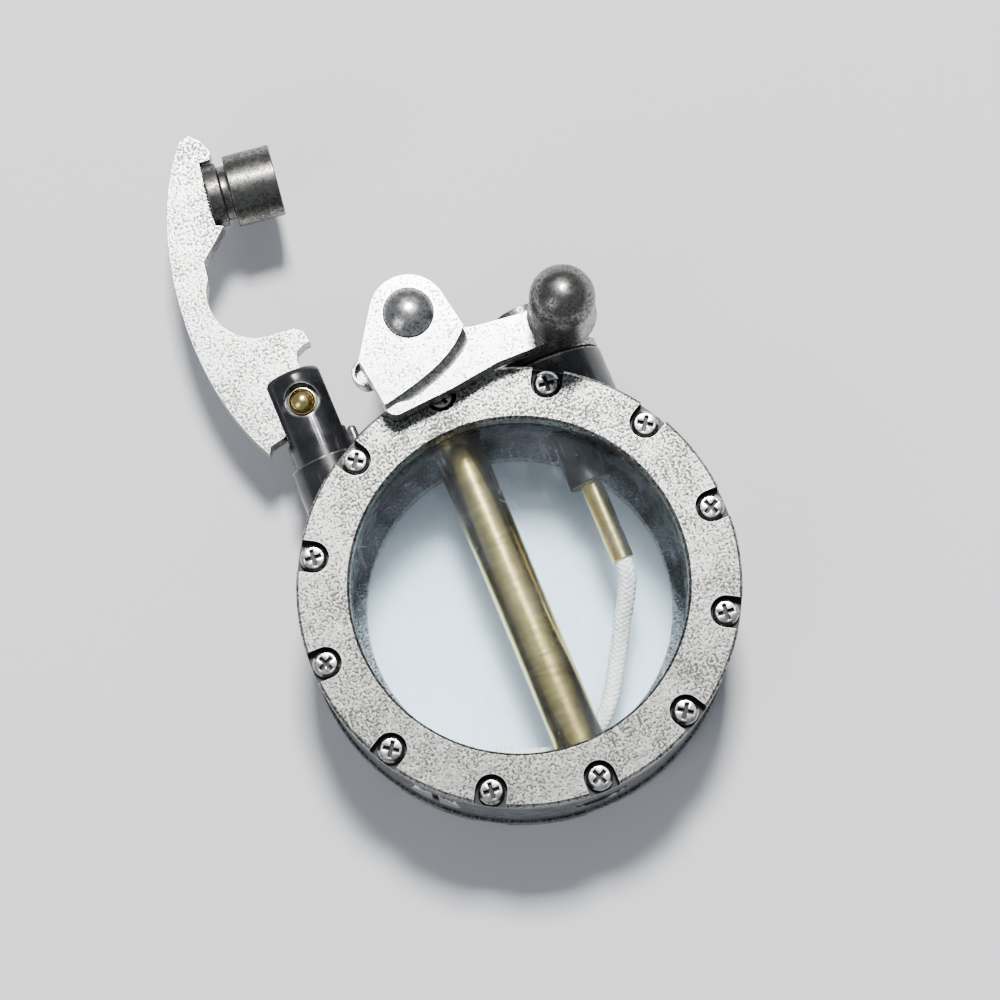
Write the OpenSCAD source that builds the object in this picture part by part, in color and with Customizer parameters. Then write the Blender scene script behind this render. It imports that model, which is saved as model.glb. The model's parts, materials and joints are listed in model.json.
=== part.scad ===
// Lift-arm lighter with a round, see-through fuel tank.
// The lighter lies on its back: +Z comes out of the front window, +Y points up the
// lighter to the striker wheel, and the origin is on the tank axis in the rear face.
// All sizes are in millimetres.

/* [Tank] */
// Outside diameter of the two bezels
bezel_d = 50; // [50:0.5:51]
// Depth of the tank over both bezels
tank_depth = 20; // [20:0.5:21]
// Clear opening of the front bezel
front_opening_d = 38; // [36:0.5:38]
// Clear opening of the rear bezel
rear_opening_d = 35.6; // [34:0.2:37]
// Thickness of each bezel
bezel_t = 2.4; // [2.2:0.1:2.6]
// Thickness of each window
window_t = 2; // [1.8:0.1:2.2]
// Screws in each bezel
screw_count = 12; // [6:6:12]

/* [Flint tube] */
// Outside diameter of the brass flint tube
flint_tube_d = 5.8; // [5.4:0.1:5.8]
// Diameter of the flint
flint_d = 2.5; // [2.4:0.1:2.6]

/* [Wick] */
// Distance of the wick from the middle of the tank
wick_x = 12.7; // [12.6:0.1:12.8]
// Diameter of the wick where it hangs free in the tank
wick_d = 2.2; // [2:0.1:2.2]
// Outside diameter of the chimney that the cap closes over
chimney_d = 5.8; // [5.4:0.2:5.8]

/* [Snuffer arm] */
// Thickness of the arm plate
arm_t = 3; // [2.6:0.1:3.2]
// Outside diameter of the snuffer cap
cap_d = 8.5; // [8.3:0.1:8.7]
// Angle that the arm swings through from closed to open
arm_swing = 83; // [60:1:83]

/* [Striker] */
// Height of the wheel axle above the tank axis
axle_y = 32.6; // [32.6:0.1:32.8]
// Outside diameter of the striker wheel
wheel_d = 8.8; // [8:0.1:8.8]
// Teeth round the striker wheel
wheel_teeth = 36; // [24:2:48]
// Thickness of the thumb lever
lever_t = 3; // [2.6:0.1:3.2]
// Diameter of the ball end of the thumb knob
knob_d = 7.4; // [7:0.1:7.8]

/* [Hidden] */

$fn = 64;

// Gap of a part that turns or slides in another, and of a part fixed in another
run_gap = 0.05;
fit_gap = 0.02;
// How far a cutting shape runs past the face it opens
over = 1;

mid = tank_depth / 2;

// Tank: wall, window seats and screw circle
bezel_r = bezel_d / 2;
bezel_chamfer = 0.3;
shell_r = bezel_r - 0.3;
bore_r = 19.2;
seat_r = 21.2;
gasket_t = 0.6;
seat_depth = window_t + gasket_t;
window_r = seat_r - 0.1;
gasket_r = seat_r - 0.2;

// Bezel screws and the pockets that they sit in
screw_r = bezel_r - 1.67;
pocket_r = 1.8;
pocket_depth = 1.5;
screw_head_r = 1.5;
screw_shank_r = 0.75;
screw_shank_l = 4.2;
cross_w = 0.48;
cross_l = 1.9;
cross_depth = 0.6;

// Filler plug in the wall, at the lower left
filler_angle = 225;
filler_face_r = 23.5;
filler_head_r = 3;
filler_head_t = 0.9;
filler_shank_r = 1.5;
filler_shank_end_r = 19.8;
filler_seal_t = 0.4;

// Flint tube and what is in it, along Y at x = 0
flint_tube_r = flint_tube_d / 2;
flint_bore_r = 1.6;
flint_tube_low = -23.2;
flint_tube_top = 27.9;
flint_r = flint_d / 2;
flint_l = 4.7;
wheel_r = wheel_d / 2;
flint_top = axle_y - wheel_r - run_gap;
flint_low = flint_top - flint_l;
plunger_head_l = 0.9;
plunger_stem_l = 2.2;
flint_screw_end = -18.6;
flint_screw_head_r = 3.1;
flint_screw_head_t = 1.2;
flint_spring_r = 1.15;
flint_spring_wire_r = 0.2;
flint_spring_turns = 16;

// Collar and post of the snuffer arm
post_x = -14.5;
post_r = 3.6;
collar_r = 4.3;
collar_top = 23.2;
pivot_y = 30.5;
post_stud_r = 1.9;
post_stud_low = 17.2;
post_top = 34.3;
post_top_round = 0.8;
post_slot_w = arm_t + 0.2;
post_slot_low = 26.4;
tongue_r = 3;
arm_pin_r = 1.2;
arm_pin_head_r = 1.55;
arm_pin_seat_r = 2;
arm_pin_seat_z = 2.3;
arm_plunger_r = 1.15;
arm_plunger_l = 4.2;
arm_plunger_top = pivot_y - tongue_r - run_gap;
plunger_bore_low = 17.8;

// Snuffer cap, in the arm's own frame: origin at the pivot, arm closed, mouth down
cap_x = wick_x - post_x;
cap_seat_y = 4.4;
cap_base_r = 3.8;
cap_base_low = 2.7;
cap_neck_r = 3.2;
cap_drum_top = 1.7;
cap_mouth_y = -3.9;
cap_bore_r = 3.6;
cap_ceiling_y = 1.25;
cap_spigot_r = 0.8;
cap_spigot_l = 2.2;

// Wick holder, from the tank up to the chimney
boss_r = 7.1;
boss_top = 23.5;
holder_seal_t = 0.3;
flange_r = 7;
flange_low = boss_top + holder_seal_t;
flange_t = 1;
chimney_r = chimney_d / 2;
chimney_top = 31.3;
chimney_cup_r = 2.2;
chimney_cup_low = 27;
sleeve_r = 2.5;
sleeve_low = 9.2;
ferrule_r = 1.3;
ferrule_bore_r = 1.05;
ferrule_low = -0.4;
ferrule_top = 10.6;
wick_core_r = 1;
wick_top = 31;

// Points along the middle of the wick's free end. It bends out of the ferrule, comes
// down on the rear window and lies along the bottom of the tank, behind the flint tube.
wick_route = [
  [12.7, -0.4, 10], [12.6, -1.5, 9.9], [12.3, -2.7, 9.4], [11.7, -3.9, 8.7],
  [11, -5.1, 7.9], [10.2, -6.3, 7.1], [9.5, -7.6, 6.4], [8.8, -8.9, 5.9],
  [8, -10.2, 5.6], [7.2, -11.5, 5.5], [6.4, -12.8, 5.5], [5.5, -14.1, 5.5],
  [4.5, -15.3, 5.5], [3.3, -16.3, 5.5], [1.9, -17.1, 5.5], [0.4, -17.6, 5.5],
  [-1.2, -17.8, 5.5], [-2.8, -17.7, 5.5], [-4.4, -17.3, 5.5], [-6, -16.7, 5.5],
  [-7.5, -16, 5.5], [-9, -15.2, 5.5]
];

// Wheel bracket: a foot on the tank and two cheeks
foot_left = -6;
foot_right = 5.2;
foot_top = 26.6;
cheek_gap = 5.6;
cheek_t = 2;
cheek_head_r = 3.9;
cheek_foot_half_w = 4.6;
bracket_screw_x = [-4.5, 4.1];
bracket_screw_head_r = 1;
bracket_screw_head_t = 0.7;
bracket_screw_shank_r = 0.7;
bracket_screw_low = 21;
cheek_in = mid + cheek_gap / 2;
cheek_out = cheek_in + cheek_t;

// Axle, wheel, ratchet and lever, stacked along Z
axle_r = 1.25;
axle_low = mid - cheek_gap / 2 - cheek_t - 1.3;
clip_t = 0.5;
clip_r = 2.3;
wheel_w = 4.8;
tooth_depth = 0.4;
lever_low = tank_depth + 0.4;
lever_top = lever_low + lever_t;
hub_top = lever_top + 1.2;
hub_r = 4.4;
journal_r = 2.85;
journal_low = lever_low + 0.3;
dome_base = hub_top + 0.4;
dome_h = 1.3;
sleeve_outer_r = 2.3;
ratchet_teeth = 8;
ratchet_low = mid + wheel_w / 2 + 0.35;
lever_spring_r = 3;
lever_spring_wire_r = 0.3;
lever_spring_turns = 4;

// Thumb knob at the lever's end
knob_x = 15.95;
knob_y = 26.1;
knob_r = knob_d / 2;
knob_flare_r = knob_r + 0.3;
knob_flare_h = 1.8;
knob_centre_h = 7.5;
knob_stud_r = 1.2;
lever_end_r = 2.6;

// The two small steel pins to the left of the hub
stop_pin_x = -6.6;
stop_pin_y = 29.8;
stop_pin_r = 1.7;
stop_pin_h = 2.2;
stop_bore_r = 1.25;
stop_bore_depth = 1.6;
stop_shank_r = 0.9;
stop_tab_w = 2.2;
stop_tab_r = 1.35;
spring_pin_x = -10.5;
spring_pin_z = 13.5;
spring_pin_r = 0.55;
spring_pin_low = 20.6;
spring_pin_top = 25;

black = "#1e2024";
silver = "#b9b7b0";
steel = "#8e9093";
dark_steel = "#57585a";
brass = "#c9a03c";
clear = [0.7, 0.78, 0.84, 0.35];
rubber = "#2a2a2c";
cotton = "#e8e6de";

// ---- helpers ----

// Cylinder along Z between two heights
module rod_z(r, z0, z1, x = 0, y = 0) {
  translate([x, y, z0]) cylinder(r = r, h = z1 - z0);
}

// Cylinder along Y between two places, in the middle of the tank's depth by default
module rod_y(r, y0, y1, x = 0, z = mid) {
  translate([x, y0, z]) rotate([-90, 0, 0]) cylinder(r = r, h = y1 - y0);
}

// Cylinder that points straight out of the tank wall at the filler
module rod_filler(r, from_r, to_r) {
  translate([0, 0, mid]) rotate([0, 0, filler_angle]) translate([from_r, 0, 0])
    rotate([0, 90, 0]) cylinder(r = r, h = to_r - from_r);
}

// Plate with a polygon outline between two heights
module plate_z(points, z0, z1) {
  translate([0, 0, z0]) linear_extrude(z1 - z0) polygon(points);
}

// Repeats its children round the screw circle
module round_the_bezel() {
  for (i = [0 : screw_count - 1]) rotate([0, 0, i * 360 / screw_count])
    translate([screw_r, 0, 0]) children();
}

// Turns a shape that was made for the front of the tank to its back
module to_the_back() {
  translate([0, 0, tank_depth]) mirror([0, 0, 1]) children();
}

// Moves a shape from the arm's own frame, arm closed, to where it is when open
module arm_open() {
  translate([post_x, pivot_y, 0]) rotate([0, 0, arm_swing]) children();
}

function arc(x, y, r, a0, a1, steps) =
  [for (i = [0 : steps]) let (a = a0 + (a1 - a0) * i / steps) [x + r * cos(a), y + r * sin(a)]];

function bezier(p0, p1, p2, p3, steps) =
  [for (i = [0 : steps]) let (t = i / steps, s = 1 - t)
    s * s * s * p0 + 3 * s * s * t * p1 + 3 * s * t * t * p2 + t * t * t * p3];

function unit(v) = v / norm(v);

function direction(points, i) =
  unit(points[min(i + 1, len(points) - 1)] - points[max(i - 1, 0)]);

// Points round a wire at one place on its route; ref is never along the route
function ring(points, i, r, sides, ref) =
  let (t = direction(points, i), u = unit(cross(t, ref)), v = cross(u, t))
  [for (k = [0 : sides - 1]) points[i] + r * (cos(k * 360 / sides) * u + sin(k * 360 / sides) * v)];

// Round wire or cord along a route
module wire(points, r, sides, ref) {
  rings = len(points);
  skin = [for (i = [0 : rings - 1]) each ring(points, i, r, sides, ref)];
  walls = [for (i = [0 : rings - 2], k = [0 : sides - 1])
    let (a = i * sides + k, b = i * sides + (k + 1) % sides) each [[a, b, b + sides], [a, b + sides, a + sides]]];
  start = [for (k = [0 : sides - 1]) sides - 1 - k];
  end = [for (k = [0 : sides - 1]) (rings - 1) * sides + k];
  polyhedron(skin, concat([start], walls, [end]), convexity = 10);
}

// Route of a coil spring whose axis is along Y
function coil_y(x, y0, y1, r, turns, steps) =
  [for (i = [0 : turns * steps]) let (a = i * 360 / steps)
    [x + r * cos(a), y0 + (y1 - y0) * i / (turns * steps), mid + r * sin(a)]];

// ---- tank ----

module body_shell() {
  color(black) difference() {
    union() {
      rod_z(shell_r, bezel_t, tank_depth - bezel_t);
      rod_y(collar_r, 14, collar_top, post_x);
      rod_y(boss_r, 12, boss_top, wick_x);
    }
    rod_z(bore_r, 0, tank_depth);
    rod_z(seat_r, 0, bezel_t + seat_depth);
    rod_z(seat_r, tank_depth - bezel_t - seat_depth, tank_depth);
    rod_y(flint_tube_r + fit_gap, -bezel_r, bezel_r + over);
    rod_y(flint_screw_head_r + 0.1, -bezel_r - over, flint_tube_low);
    rod_y(post_stud_r + fit_gap, post_stud_low - 0.1, collar_top + over, post_x);
    rod_y(sleeve_r + fit_gap, 10, boss_top + over, wick_x);
    rod_y(boss_r + 0.2, boss_top, bezel_r + over, wick_x);
    rod_filler(filler_shank_r + fit_gap, bore_r - over, bezel_r + over);
    rod_filler(filler_head_r + 0.1, filler_face_r, bezel_r + over);
    rod_y(spring_pin_r + fit_gap, spring_pin_low - 0.1, bezel_r, spring_pin_x, spring_pin_z);
    for (x = bracket_screw_x) rod_y(bracket_screw_shank_r + fit_gap, bracket_screw_low - 0.1, bezel_r + over, x);
    shell_screw_holes();
    to_the_back() shell_screw_holes();
  }
}

module shell_screw_holes() {
  hole_low = tank_depth - pocket_depth - screw_shank_l - 0.1;
  round_the_bezel() rod_z(screw_shank_r + fit_gap, hole_low, tank_depth);
}

module bezel(opening_r) {
  back = tank_depth - bezel_t;
  c = bezel_chamfer;
  profile = [
    [opening_r, back], [bezel_r, back], [bezel_r, tank_depth - c], [bezel_r - c, tank_depth],
    [opening_r + c, tank_depth], [opening_r, tank_depth - c]
  ];
  color(silver) difference() {
    rotate_extrude($fn = 128) polygon(profile);
    round_the_bezel() {
      rod_z(pocket_r, tank_depth - pocket_depth, tank_depth + over);
      translate([0, -pocket_r, tank_depth - pocket_depth]) cube([pocket_r + 2, pocket_r * 2, pocket_depth + over]);
      rod_z(screw_shank_r + 0.1, back - over, tank_depth);
    }
  }
}

module front_bezel() {
  bezel(front_opening_d / 2);
}

module rear_bezel() {
  to_the_back() bezel(rear_opening_d / 2);
}

module window() {
  color(clear) rod_z(window_r, tank_depth - bezel_t - window_t, tank_depth - bezel_t);
}

module front_window() {
  window();
}

module rear_window() {
  to_the_back() window();
}

module gasket() {
  low = tank_depth - bezel_t - seat_depth;
  color(rubber) difference() {
    rod_z(gasket_r, low, low + gasket_t);
    rod_z(bore_r + 0.1, low - over, low + seat_depth);
  }
}

module front_gasket() {
  gasket();
}

module rear_gasket() {
  to_the_back() gasket();
}

module bezel_screws() {
  head_low = tank_depth - pocket_depth;
  profile = [[0, 0], [screw_head_r, 0], [screw_head_r, 0.65], [screw_head_r - 0.3, 0.95], [0, 1.05]];
  color(steel) round_the_bezel() difference() {
    union() {
      translate([0, 0, head_low]) rotate_extrude() polygon(profile);
      rod_z(screw_shank_r, head_low - screw_shank_l, head_low + 0.1);
    }
    for (turn = [25, 115]) rotate([0, 0, turn])
      translate([-cross_l / 2, -cross_w / 2, head_low + 1.05 - cross_depth]) cube([cross_l, cross_w, over]);
  }
}

module front_screws() {
  bezel_screws();
}

module rear_screws() {
  to_the_back() bezel_screws();
}

module filler_screw() {
  head_low = filler_face_r + filler_seal_t;
  color(steel) difference() {
    union() {
      rod_filler(filler_head_r, head_low, head_low + filler_head_t);
      rod_filler(filler_shank_r, filler_shank_end_r, head_low + 0.1);
    }
    translate([0, 0, mid]) rotate([0, 0, filler_angle])
      translate([head_low + filler_head_t - 0.5, -0.4, -filler_head_r - over])
        cube([over, 0.8, (filler_head_r + over) * 2]);
  }
}

module filler_seal() {
  color(rubber) difference() {
    rod_filler(filler_head_r - 0.1, filler_face_r, filler_face_r + filler_seal_t);
    rod_filler(filler_shank_r + 0.1, filler_face_r - over, filler_face_r + over);
  }
}

// ---- flint ----

module flint_tube() {
  color(brass) difference() {
    rod_y(flint_tube_r, flint_tube_low, flint_tube_top);
    rod_y(flint_bore_r, flint_tube_low - over, flint_tube_top + over);
  }
}

module flint() {
  color(dark_steel) rod_y(flint_r, flint_low, flint_top);
}

module flint_plunger() {
  head_low = flint_low - plunger_head_l;
  color(brass) {
    rod_y(flint_bore_r - 0.1, head_low, flint_low);
    rod_y(0.7, head_low - plunger_stem_l, head_low + 0.1);
  }
}

module flint_spring() {
  low = flint_screw_end + flint_spring_wire_r + 0.15;
  high = flint_low - plunger_head_l - flint_spring_wire_r - 0.15;
  route = coil_y(0, low, high, flint_spring_r, flint_spring_turns, 8);
  color(steel) wire(route, flint_spring_wire_r, 5, [0, 1, 0]);
}

module flint_screw() {
  head_low = flint_tube_low - flint_screw_head_t;
  color(dark_steel) difference() {
    union() {
      rod_y(flint_screw_head_r, head_low, flint_tube_low);
      rod_y(flint_bore_r - fit_gap, flint_tube_low - 0.1, flint_screw_end);
    }
    translate([-flint_screw_head_r - over, head_low - over, mid - 0.4])
      cube([(flint_screw_head_r + over) * 2, over + 0.6, 0.8]);
  }
}

// ---- wick ----

module wick_holder() {
  color(silver) difference() {
    union() {
      rod_y(sleeve_r, sleeve_low, flange_low + 0.1, wick_x);
      rod_y(flange_r, flange_low, flange_low + flange_t, wick_x);
      rod_y(chimney_r, flange_low, chimney_top, wick_x);
    }
    rod_y(wick_core_r + fit_gap, sleeve_low - over, chimney_top, wick_x);
    rod_y(chimney_cup_r, chimney_cup_low, chimney_top + over, wick_x);
    rod_y(ferrule_r + fit_gap, sleeve_low - over, ferrule_top, wick_x);
  }
}

module holder_seal() {
  color(rubber) difference() {
    rod_y(flange_r - 0.3, boss_top, flange_low, wick_x);
    rod_y(sleeve_r + 0.1, boss_top - over, flange_low + over, wick_x);
  }
}

module wick_ferrule() {
  color(brass) difference() {
    rod_y(ferrule_r, ferrule_low, ferrule_top, wick_x);
    rod_y(ferrule_bore_r, ferrule_low - over, ferrule_top + over, wick_x);
  }
}

module wick_core() {
  color(cotton) rod_y(wick_core_r, ferrule_low, wick_top, wick_x);
}

module wick_tail() {
  color(cotton) wire(wick_route, wick_d / 2, 8, [0, 0, 1]);
}

// ---- snuffer arm ----

module arm_post() {
  r = post_top_round;
  profile = concat(
    [[0, collar_top], [post_r, collar_top]],
    arc(post_r - r, post_top - r, r, 0, 90, 6),
    [[0, post_top]]
  );
  color(black) difference() {
    union() {
      translate([post_x, 0, mid]) rotate([-90, 0, 0]) rotate_extrude() polygon(profile);
      rod_y(post_stud_r, post_stud_low, collar_top + 0.1, post_x);
    }
    translate([post_x - post_r - over, post_slot_low, mid - post_slot_w / 2])
      cube([(post_r + over) * 2, post_top - post_slot_low + over, post_slot_w]);
    rod_y(arm_plunger_r + run_gap, plunger_bore_low, post_slot_low + over, post_x);
    rod_z(arm_pin_r + fit_gap, 0, tank_depth, post_x, pivot_y);
    rod_z(arm_pin_seat_r, mid + arm_pin_seat_z, tank_depth, post_x, pivot_y);
    rod_z(arm_pin_seat_r, 0, mid - arm_pin_seat_z - 0.4, post_x, pivot_y);
  }
}

module arm_pin() {
  head_low = mid + arm_pin_seat_z;
  color(brass) {
    rod_z(arm_pin_r, mid - post_r + 0.5, head_low + 0.1, post_x, pivot_y);
    rod_z(arm_pin_head_r, head_low, head_low + 0.4, post_x, pivot_y);
    intersection() {
      translate([post_x, pivot_y, head_low + 0.4 - 0.7]) sphere(r = arm_pin_head_r + 0.12);
      rod_z(arm_pin_head_r, head_low + 0.4, head_low + 2, post_x, pivot_y);
    }
  }
}

// Outline of the arm in its own frame: back, tip, cap seat, wheel cut-out, nose, tail
function arm_outline() = concat(
  bezier([-4.9, 5.2], [5, 12.3], [24, 13], [34.3, 6], 20),
  [[34.7, 4.8], [33.7, 3.6], [32.1, 2.8], [31.2, 3.1], [31.1, cap_seat_y]],
  [[23.3, cap_seat_y], [23, 3.5], [21.4, 4.9], [19.4, 6.8]],
  arc(14.5, 1.9, 5.7, 60, 190, 14),
  [[8.9, -1.3], [8.3, -2.2], [6.9, -2.7], [6.7, -1.9]],
  [[6.1, -0.9], [5.1, -0.7], [3.7, -0.9], [0, -1], [-3.4, 3.1], [-4, 4.8]]
);

module snuffer_arm() {
  low = mid - arm_t / 2;
  color(silver) arm_open() difference() {
    union() {
      plate_z(arm_outline(), low, low + arm_t);
      rod_z(tongue_r, low, low + arm_t);
    }
    rod_z(arm_pin_r + run_gap, 0, tank_depth);
    rod_y(cap_spigot_r + fit_gap, cap_seat_y - over, cap_seat_y + cap_spigot_l + 0.1, cap_x);
  }
}

module snuffer_cap() {
  color(dark_steel) arm_open() difference() {
    union() {
      rod_y(cap_base_r, cap_base_low, cap_seat_y, cap_x);
      rod_y(cap_neck_r, cap_drum_top - 0.1, cap_base_low + 0.1, cap_x);
      rod_y(cap_d / 2, cap_mouth_y, cap_drum_top, cap_x);
      rod_y(cap_spigot_r, cap_seat_y - 0.1, cap_seat_y + cap_spigot_l, cap_x);
    }
    rod_y(cap_bore_r, cap_mouth_y - over, cap_ceiling_y, cap_x);
  }
}

module arm_plunger() {
  low = arm_plunger_top - arm_plunger_l;
  color(steel) {
    rod_y(arm_plunger_r, low, arm_plunger_top - 0.4, post_x);
    translate([post_x, arm_plunger_top - 0.4, mid]) rotate([-90, 0, 0])
      cylinder(r1 = arm_plunger_r, r2 = arm_plunger_r - 0.4, h = 0.4);
  }
}

module arm_plunger_spring() {
  wire_r = 0.18;
  low = plunger_bore_low + wire_r + 0.05;
  high = arm_plunger_top - arm_plunger_l - wire_r - 0.1;
  color(steel) wire(coil_y(post_x, low, high, 0.85, 5, 8), wire_r, 5, [0, 1, 0]);
}

// ---- striker ----

// One cheek: an upright with a round head about the axle
module cheek(z0) {
  side = cheek_foot_half_w;
  top = cheek_head_r - 0.15;
  flank = [[-side, foot_top - over], [side, foot_top - over], [top, axle_y], [-top, axle_y]];
  plate_z(flank, z0, z0 + cheek_t);
  rod_z(cheek_head_r, z0, z0 + cheek_t, 0, axle_y);
}

// Tab on the front cheek that carries the stop pin
module stop_tab() {
  reach = norm([stop_pin_x, stop_pin_y - axle_y]);
  turn = atan2(stop_pin_y - axle_y, stop_pin_x);
  translate([0, axle_y, cheek_in]) rotate([0, 0, turn])
    translate([0, -stop_tab_w / 2, 0]) cube([reach, stop_tab_w, cheek_t]);
  rod_z(stop_tab_r, cheek_in, cheek_out, stop_pin_x, stop_pin_y);
}

module wheel_bracket() {
  rear_out = mid - cheek_gap / 2 - cheek_t;
  color(silver) difference() {
    union() {
      translate([foot_left, 22, rear_out]) cube([foot_right - foot_left, foot_top - 22, cheek_out - rear_out]);
      cheek(rear_out);
      cheek(cheek_in);
      stop_tab();
    }
    rod_z(shell_r, 0, tank_depth);
    rod_y(flint_tube_r + fit_gap, 20, foot_top + over);
    for (x = bracket_screw_x) rod_y(bracket_screw_shank_r + fit_gap, 20, foot_top + over, x);
    rod_z(axle_r + fit_gap, 0, cheek_in, 0, axle_y);
    rod_z(sleeve_outer_r + run_gap, cheek_in - 0.1, tank_depth, 0, axle_y);
    rod_z(stop_shank_r + fit_gap, cheek_in - over, cheek_out + over, stop_pin_x, stop_pin_y);
  }
}

module bracket_screws() {
  color(steel) for (x = bracket_screw_x) difference() {
    union() {
      rod_y(bracket_screw_head_r, foot_top, foot_top + bracket_screw_head_t, x);
      rod_y(bracket_screw_shank_r, bracket_screw_low, foot_top + 0.1, x);
    }
    translate([x - 2, foot_top + bracket_screw_head_t - 0.3, mid - 0.2]) cube([4, over, 0.4]);
  }
}

module wheel_axle() {
  dome_r = (journal_r * journal_r + dome_h * dome_h) / (2 * dome_h);
  color(steel) {
    rod_z(axle_r, axle_low, journal_low + 0.1, 0, axle_y);
    rod_z(journal_r, journal_low, dome_base, 0, axle_y);
    intersection() {
      translate([0, axle_y, dome_base + dome_h - dome_r]) sphere(r = dome_r);
      rod_z(journal_r, dome_base, dome_base + dome_h + over, 0, axle_y);
    }
  }
}

module axle_clip() {
  low = mid - cheek_gap / 2 - cheek_t - clip_t - 0.05;
  color(steel) difference() {
    rod_z(clip_r, low, low + clip_t, 0, axle_y);
    rod_z(axle_r + fit_gap, low - over, low + over, 0, axle_y);
    translate([0.6, axle_y - 0.6, low - over]) cube([3, 1.2, clip_t + over * 2]);
  }
}

// Shallow saw-tooth notches across one face, at a given height
module ratchet_notches(z0, r) {
  for (i = [0 : ratchet_teeth - 1]) translate([0, axle_y, z0]) rotate([0, 0, i * 360 / ratchet_teeth])
    translate([axle_r + 0.3, 0, 0]) rotate([12, 0, 0]) cube([r, 0.5, 0.3]);
}

module flint_wheel() {
  steps = wheel_teeth * 2;
  outline = [for (i = [0 : steps - 1]) let (r = wheel_r - (i % 2) * tooth_depth, a = i * 360 / steps)
    [r * cos(a), axle_y + r * sin(a)]];
  low = mid - wheel_w / 2;
  color(dark_steel) difference() {
    union() {
      plate_z(outline, low + 0.4, low + wheel_w - 0.4);
      rod_z(wheel_r - tooth_depth - 0.3, low, low + wheel_w, 0, axle_y);
    }
    rod_z(axle_r + run_gap, 0, tank_depth, 0, axle_y);
    ratchet_notches(low + wheel_w - 0.15, 2);
  }
}

module ratchet_sleeve() {
  color(steel) difference() {
    rod_z(sleeve_outer_r, ratchet_low, lever_low, 0, axle_y);
    rod_z(axle_r + run_gap, 0, tank_depth + over, 0, axle_y);
    ratchet_notches(ratchet_low - 0.15, 2);
  }
}

module lever_spring() {
  low = cheek_out + lever_spring_wire_r + 0.2;
  high = lever_low - lever_spring_wire_r - 0.2;
  steps = 12;
  start_turn = 215;
  count = lever_spring_turns * steps;
  coil = [for (i = [0 : count]) let (a = start_turn + i * 360 / steps)
    [lever_spring_r * cos(a), axle_y + lever_spring_r * sin(a), low + (high - low) * i / count]];
  fixed_leg = [[-6.4, 27.4, low], [-5.6, 27.9, low], [-4.5, 28.6, low], [-3.3, 29.8, low]];
  free_leg = [[-1.1, 29.4, high], [0.6, 28.4, high], [2.4, 27.2, high], [4, 26.2, high]];
  color(steel) wire(concat(fixed_leg, coil, free_leg), lever_spring_wire_r, 6, [0, 0, 1]);
}

// Lever plate: tail corner, lower edge, round end under the knob, upper edge
function lever_outline() = concat(
  [[-7.2, 29.6], [-6.45, 24]],
  arc(-5.2, 23.6, 1.2, 180, 270, 5),
  [[1.3, 22.9], [7.3, 23.75]],
  arc(knob_x, knob_y, lever_end_r, -110, 100, 12),
  [[12, 27.9], [6.3, 28.6], [5.15, 28.9], [4, 32.6], [-3.5, 32.6]]
);

// Raised hub: round head about the axle, straight flanks, curved lower edge
function hub_outline() = concat(
  arc(0, axle_y, hub_r, 9, 146, 16),
  [[-7.2, 29.6], [-6.4, 23.8]],
  bezier([-6.1, 23.8], [-0.5, 25], [3, 26.2], [5.15, 28.9], 8)
);

module thumb_lever() {
  color(silver) difference() {
    union() {
      plate_z(lever_outline(), lever_low, lever_top);
      plate_z(hub_outline(), lever_low, hub_top);
    }
    rod_z(journal_r + run_gap, journal_low, hub_top + over, 0, axle_y);
    rod_z(axle_r + run_gap, lever_low - over, hub_top, 0, axle_y);
    rod_z(knob_stud_r + fit_gap, lever_low - over, lever_top + over, knob_x, knob_y);
  }
}

module thumb_knob() {
  color(dark_steel) translate([knob_x, knob_y, lever_top]) {
    cylinder(r1 = knob_flare_r, r2 = knob_r, h = knob_flare_h);
    cylinder(r = knob_r, h = knob_centre_h);
    translate([0, 0, knob_centre_h]) sphere(r = knob_r);
    translate([0, 0, -lever_t + 0.2]) cylinder(r = knob_stud_r, h = lever_t);
  }
}

module stop_pin() {
  top = cheek_out + stop_pin_h;
  color(steel) difference() {
    union() {
      rod_z(stop_pin_r, cheek_out, top, stop_pin_x, stop_pin_y);
      rod_z(stop_shank_r, cheek_in, cheek_out + 0.1, stop_pin_x, stop_pin_y);
    }
    rod_z(stop_bore_r, top - stop_bore_depth, top + over, stop_pin_x, stop_pin_y);
  }
}

module spring_pin() {
  color(steel) {
    rod_y(spring_pin_r, spring_pin_low, spring_pin_top, spring_pin_x, spring_pin_z);
    translate([spring_pin_x, spring_pin_top, spring_pin_z]) sphere(r = spring_pin_r);
  }
}

body_shell();
front_bezel();
rear_bezel();
front_window();
rear_window();
front_gasket();
rear_gasket();
front_screws();
rear_screws();
filler_screw();
filler_seal();
flint_tube();
flint();
flint_plunger();
flint_spring();
flint_screw();
wick_holder();
holder_seal();
wick_ferrule();
wick_core();
wick_tail();
arm_post();
arm_pin();
snuffer_arm();
snuffer_cap();
arm_plunger();
arm_plunger_spring();
wheel_bracket();
bracket_screws();
wheel_axle();
axle_clip();
flint_wheel();
ratchet_sleeve();
lever_spring();
thumb_lever();
thumb_knob();
stop_pin();
spring_pin();
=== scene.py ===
"""Looks of the lift-arm tank lighter: finishes, rounded edges, wick and springs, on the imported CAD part.

The row frame is used throughout: metres, +Z out of the front window, +Y towards the striker wheel.
The lighter's own sizes are written in millimetres and multiplied by MM. Lights and floor are in metres.
"""

import json
import math
import random

import bmesh
import bpy
from mathutils import Matrix, Vector


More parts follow.
